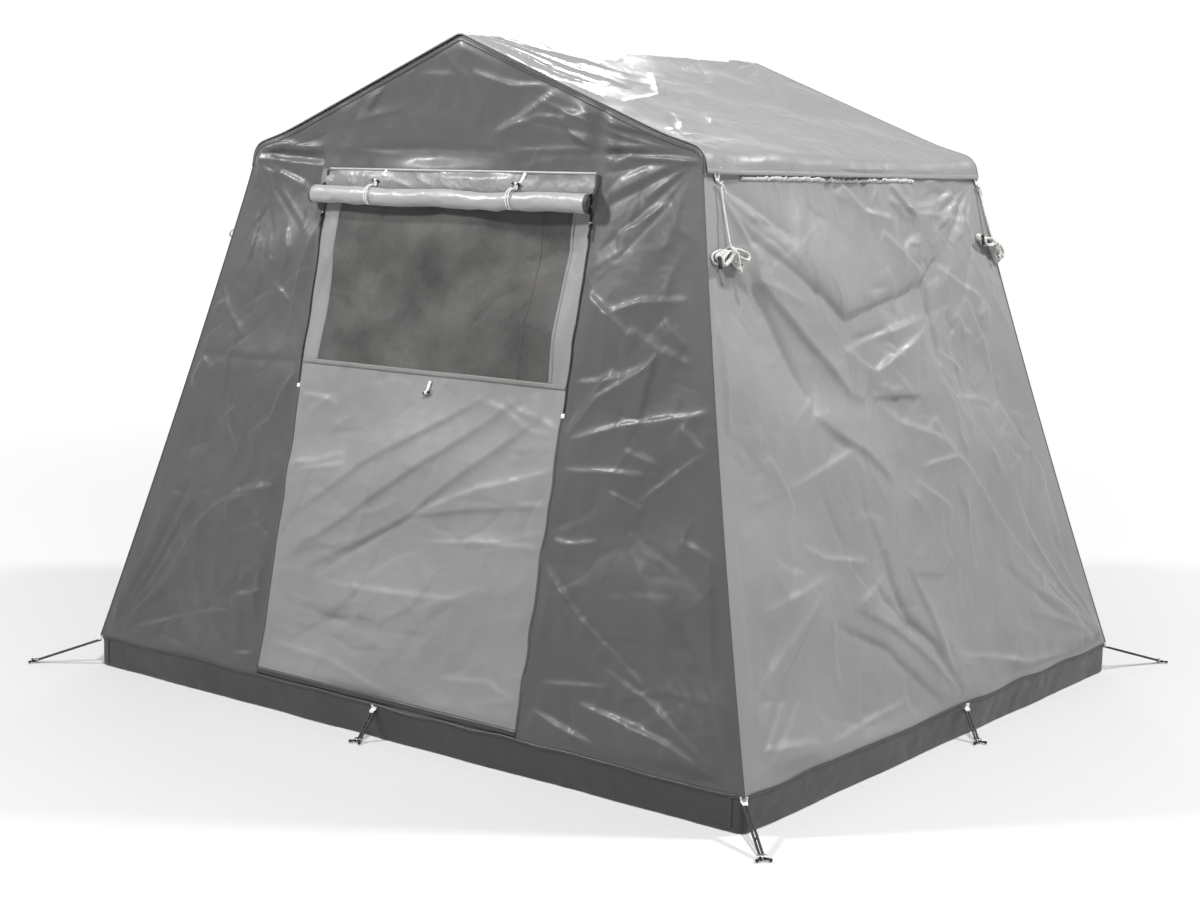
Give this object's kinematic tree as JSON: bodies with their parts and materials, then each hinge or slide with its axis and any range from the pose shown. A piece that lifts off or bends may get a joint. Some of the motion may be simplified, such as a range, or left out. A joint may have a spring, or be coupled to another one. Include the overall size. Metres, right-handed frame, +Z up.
{
  "type": "tent on poles",
  "caption": "Frame tent with a gable roof, splayed cloth walls, a meshed window with a rolled-up cover, telescopic pole legs, guy ropes and pegs.",
  "frame": {"origin": "centre of the groundsheet's underside", "axes": "+Z up, -Y towards the gable wall with the window, +X across the gable towards the right-hand side wall"},
  "size_m": [2.815, 2.524, 1.985],
  "materials": {
    "dark_cloth": "satin",
    "light_cloth": "satin",
    "band_cloth": "satin",
    "silver_cloth": "satin",
    "window_mesh": "matte",
    "webbing": "matte",
    "steel_pole": "satin",
    "black_plastic": "matte",
    "zip_metal": "satin",
    "black_rubber": "matte",
    "white_rope": "matte"
  },
  "bodies": {
    "tent": {"eave_joint_front_left": "black_plastic", "eave_joint_front_right": "black_plastic", "eave_joint_rear_left": "black_plastic", "eave_joint_rear_right": "black_plastic", "eave_pole_left": "steel_pole", "eave_pole_right": "steel_pole", "front_wall": "dark_cloth", "groundsheet": "band_cloth", "guy_hank_front_left": "white_rope", "guy_hank_front_right": "white_rope", "guy_hank_rear_left": "white_rope", "guy_hank_rear_right": "white_rope", "guy_rope_front_left": "white_rope", "guy_rope_front_right": "white_rope", "guy_rope_rear_left": "white_rope", "guy_rope_rear_right": "white_rope", "left_wall": "light_cloth", "peg_set_front_left": "black_rubber", "peg_set_front_middle": "black_rubber", "peg_set_front_right": "black_rubber", "peg_set_left_middle": "black_rubber", "peg_set_rear_left": "black_rubber", "peg_set_rear_middle": "black_rubber", "peg_set_rear_right": "black_rubber", "peg_set_right_middle": "black_rubber", "rafter_front_left": "steel_pole", "rafter_front_right": "steel_pole", "rafter_rear_left": "steel_pole", "rafter_rear_right": "steel_pole", "rear_wall": "dark_cloth", "ridge_joint_front": "black_plastic", "ridge_joint_rear": "black_plastic", "ridge_pole": "steel_pole", "right_wall": "light_cloth", "roof": "light_cloth", "upper_leg_front_left": "steel_pole", "upper_leg_front_right": "steel_pole", "upper_leg_rear_left": "steel_pole", "upper_leg_rear_right": "steel_pole", "window_cover": "silver_cloth", "window_mesh": "window_mesh", "window_panel": "light_cloth"},
    "lower_leg_front_right": {"lower_leg_front_right": "steel_pole", "foot_front_right": "black_plastic"},
    "thumb_screw_front_right": {"thumb_screw_front_right": "black_plastic"},
    "lower_leg_front_left": {"lower_leg_front_left": "steel_pole", "foot_front_left": "black_plastic"},
    "thumb_screw_front_left": {"thumb_screw_front_left": "black_plastic"},
    "lower_leg_rear_right": {"lower_leg_rear_right": "steel_pole", "foot_rear_right": "black_plastic"},
    "thumb_screw_rear_right": {"thumb_screw_rear_right": "black_plastic"},
    "lower_leg_rear_left": {"lower_leg_rear_left": "steel_pole", "foot_rear_left": "black_plastic"},
    "thumb_screw_rear_left": {"thumb_screw_rear_left": "black_plastic"},
    "cover_slider_right": {"cover_slider_right": "zip_metal"},
    "door_slider_right": {"door_slider_right": "zip_metal"},
    "cover_slider_left": {"cover_slider_left": "zip_metal"},
    "door_slider_left": {"door_slider_left": "zip_metal"},
    "door": {"door_panel": "light_cloth"},
    "window_tab": {"window_tab": "webbing"}
  },
  "joints": [
    {"name": "leg_slide_front_right", "type": "slide", "parent": "tent", "child": "lower_leg_front_right", "axis": [-0.2376, 0.1903, 0.9526], "range_m": [0, 0.3]},
    {"name": "screw_turn_front_right", "type": "hinge", "parent": "tent", "child": "thumb_screw_front_right", "pos_m": [1.04305, -0.90467, 0.72555], "axis": [-0.9714, -0.0465, -0.233], "range_deg": [0, 360]},
    {"name": "leg_slide_front_left", "type": "slide", "parent": "tent", "child": "lower_leg_front_left", "axis": [0.2376, 0.1903, 0.9526], "range_m": [0, 0.3]},
    {"name": "screw_turn_front_left", "type": "hinge", "parent": "tent", "child": "thumb_screw_front_left", "pos_m": [-1.04305, -0.90467, 0.72555], "axis": [0.9714, -0.0465, -0.233], "range_deg": [0, 360]},
    {"name": "leg_slide_rear_right", "type": "slide", "parent": "tent", "child": "lower_leg_rear_right", "axis": [-0.2376, -0.1903, 0.9526], "range_m": [0, 0.3]},
    {"name": "screw_turn_rear_right", "type": "hinge", "parent": "tent", "child": "thumb_screw_rear_right", "pos_m": [1.04305, 0.90467, 0.72555], "axis": [-0.9714, 0.0465, -0.233], "range_deg": [0, 360]},
    {"name": "leg_slide_rear_left", "type": "slide", "parent": "tent", "child": "lower_leg_rear_left", "axis": [0.2376, -0.1903, 0.9526], "range_m": [0, 0.3]},
    {"name": "screw_turn_rear_left", "type": "hinge", "parent": "tent", "child": "thumb_screw_rear_left", "pos_m": [-1.04305, 0.90467, 0.72555], "axis": [0.9714, 0.0465, -0.233], "range_deg": [0, 360]},
    {"name": "cover_zip_right", "type": "slide", "parent": "tent", "child": "cover_slider_right", "axis": [0, -0.2037, -0.979], "range_m": [0, 0.5]},
    {"name": "door_zip_right", "type": "slide", "parent": "tent", "child": "door_slider_right", "axis": [0, -0.2037, 0.979], "range_m": [0, 1.4]},
    {"name": "cover_zip_left", "type": "slide", "parent": "tent", "child": "cover_slider_left", "axis": [0, -0.2037, -0.979], "range_m": [0, 0.5]},
    {"name": "door_zip_left", "type": "slide", "parent": "tent", "child": "door_slider_left", "axis": [0, -0.2037, 0.979], "range_m": [0, 1.4]},
    {"name": "door_swing", "type": "hinge", "parent": "tent", "child": "door", "pos_m": [0, 0.76248, 1.6], "axis": [1, 0, 0], "range_deg": [0, 80]},
    {"name": "tab_swing", "type": "hinge", "parent": "tent", "child": "window_tab", "pos_m": [0.012, -0.88766, 1.008], "axis": [-1, 0, 0], "range_deg": [0, 150]}
  ]
}
